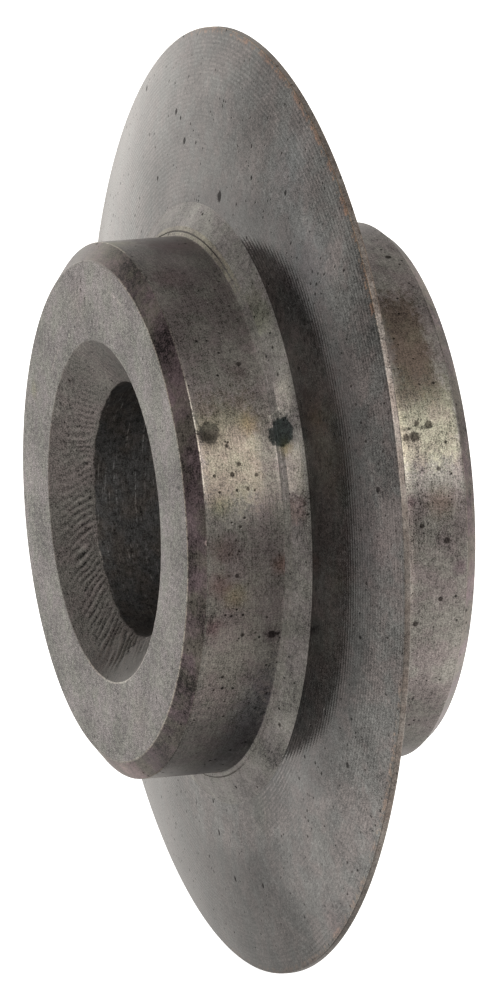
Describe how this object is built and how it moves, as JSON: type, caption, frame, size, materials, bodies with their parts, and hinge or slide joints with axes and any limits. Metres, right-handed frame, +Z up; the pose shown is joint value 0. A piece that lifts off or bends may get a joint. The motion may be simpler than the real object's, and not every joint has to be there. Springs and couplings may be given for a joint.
{
  "type": "tube cutter wheel",
  "caption": "Hardened steel cutter wheel: a thin disc with a narrow cutting edge between two plain hubs, with a countersunk bore that turns on a tool's pin.",
  "frame": {"origin": "the middle of the wheel: on its axis, halfway between its two end faces, in the plane of the disc", "axes": "+Y along the wheel's axis towards the hub with the narrower chamfer, +Z up with the wheel upright on its cutting edge, +X to the front"},
  "size_m": [0.019, 0.006, 0.019],
  "materials": {
    "hardened_steel": "turned and hardened, dark grey with brown and blue temper stains, satin"
  },
  "bodies": {
    "root": {"cutter_wheel": "hardened_steel"}
  },
  "joints": []
}
